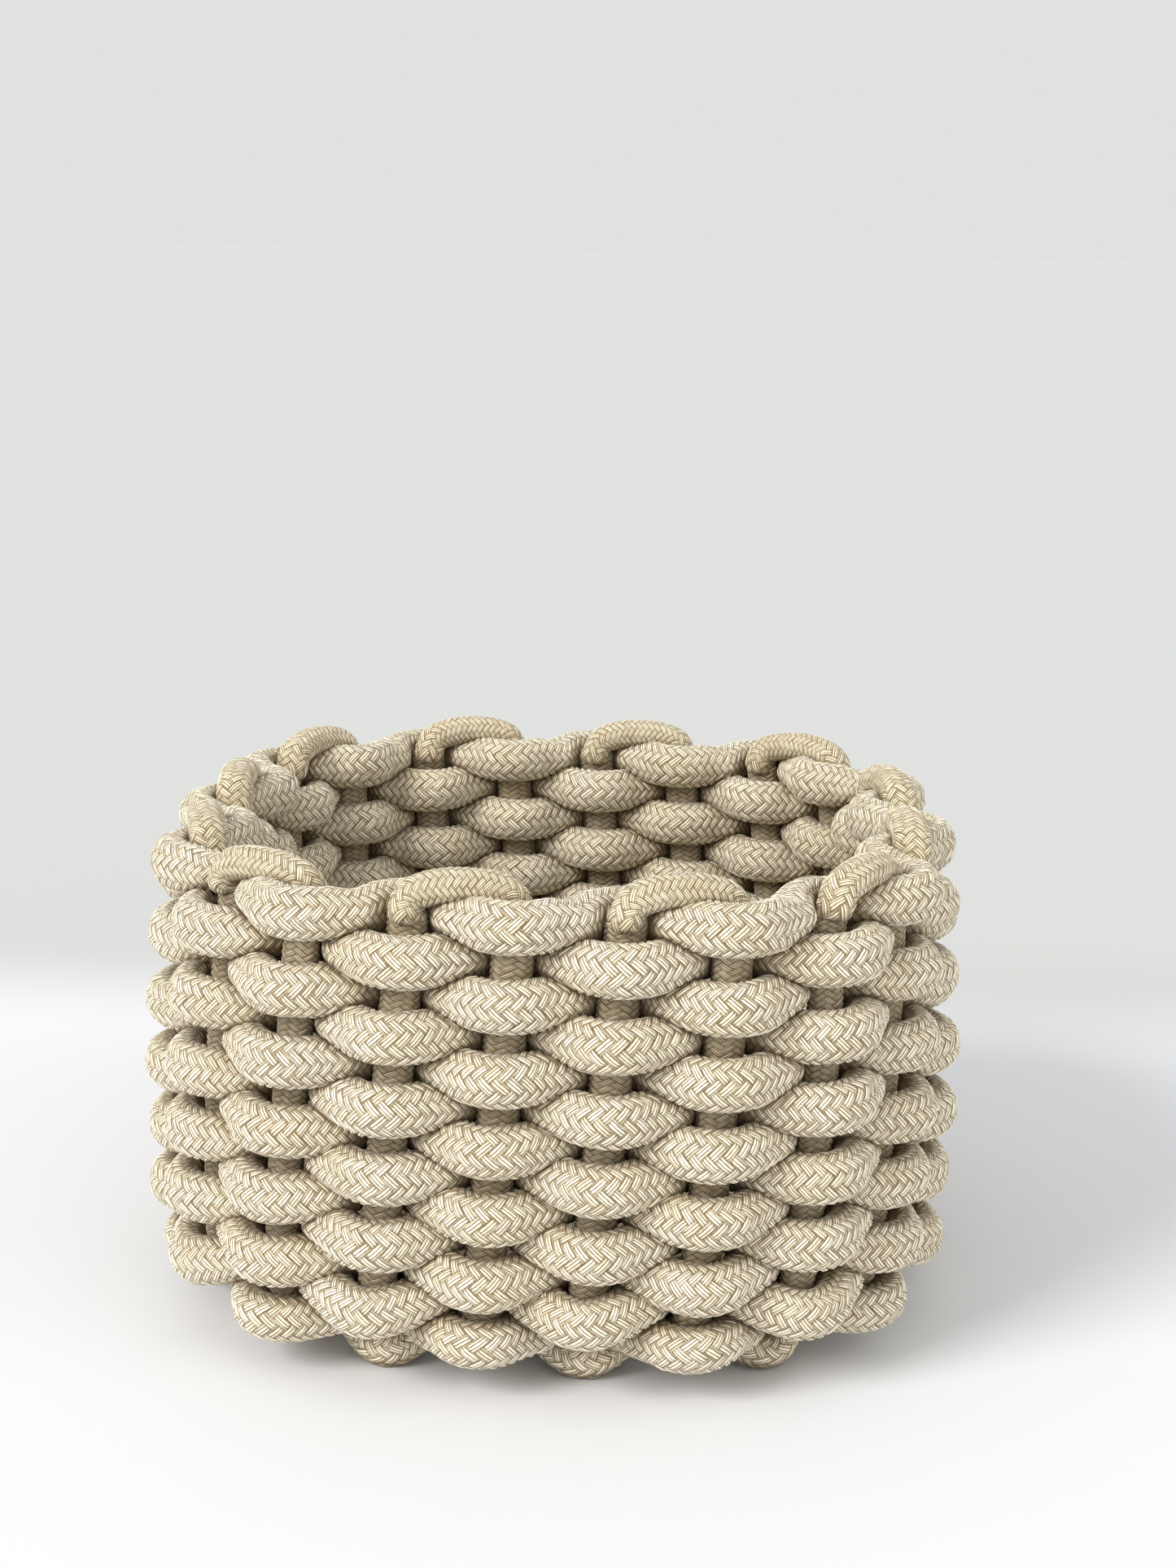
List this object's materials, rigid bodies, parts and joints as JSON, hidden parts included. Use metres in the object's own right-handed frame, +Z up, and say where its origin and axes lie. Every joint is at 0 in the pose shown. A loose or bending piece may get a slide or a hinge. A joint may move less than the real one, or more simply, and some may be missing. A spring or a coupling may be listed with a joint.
{
  "type": "rope storage basket",
  "caption": "Open square basket with rounded corners, woven from thick braided rope: rings laced over and under looped uprights, with a woven base.",
  "frame": {"origin": "middle of the basket's plan, on the plane that it stands on", "axes": "+Z up through the open top; the front of the basket faces -Y and its right side faces +X"},
  "size_m": [0.2344, 0.2344, 0.1436],
  "materials": {
    "weft_rope": "matte braided cotton, beige",
    "stake_rope": "matte braided cotton, beige, thinner rope"
  },
  "bodies": {
    "root": {"weft_01": "weft_rope", "weft_02": "weft_rope", "weft_03": "weft_rope", "weft_04": "weft_rope", "weft_05": "weft_rope", "weft_06": "weft_rope", "weft_07": "weft_rope", "weft_08": "weft_rope", "weft_09": "weft_rope", "weft_10": "weft_rope", "weft_11": "weft_rope", "weft_12": "weft_rope", "weft_13": "weft_rope", "weft_14": "weft_rope", "stake_01": "stake_rope", "stake_02": "stake_rope", "stake_03": "stake_rope", "stake_04": "stake_rope", "stake_05": "stake_rope", "stake_06": "stake_rope", "stake_07": "stake_rope", "stake_08": "stake_rope", "stake_09": "stake_rope", "stake_10": "stake_rope", "stake_11": "stake_rope", "stake_12": "stake_rope"}
  },
  "joints": []
}
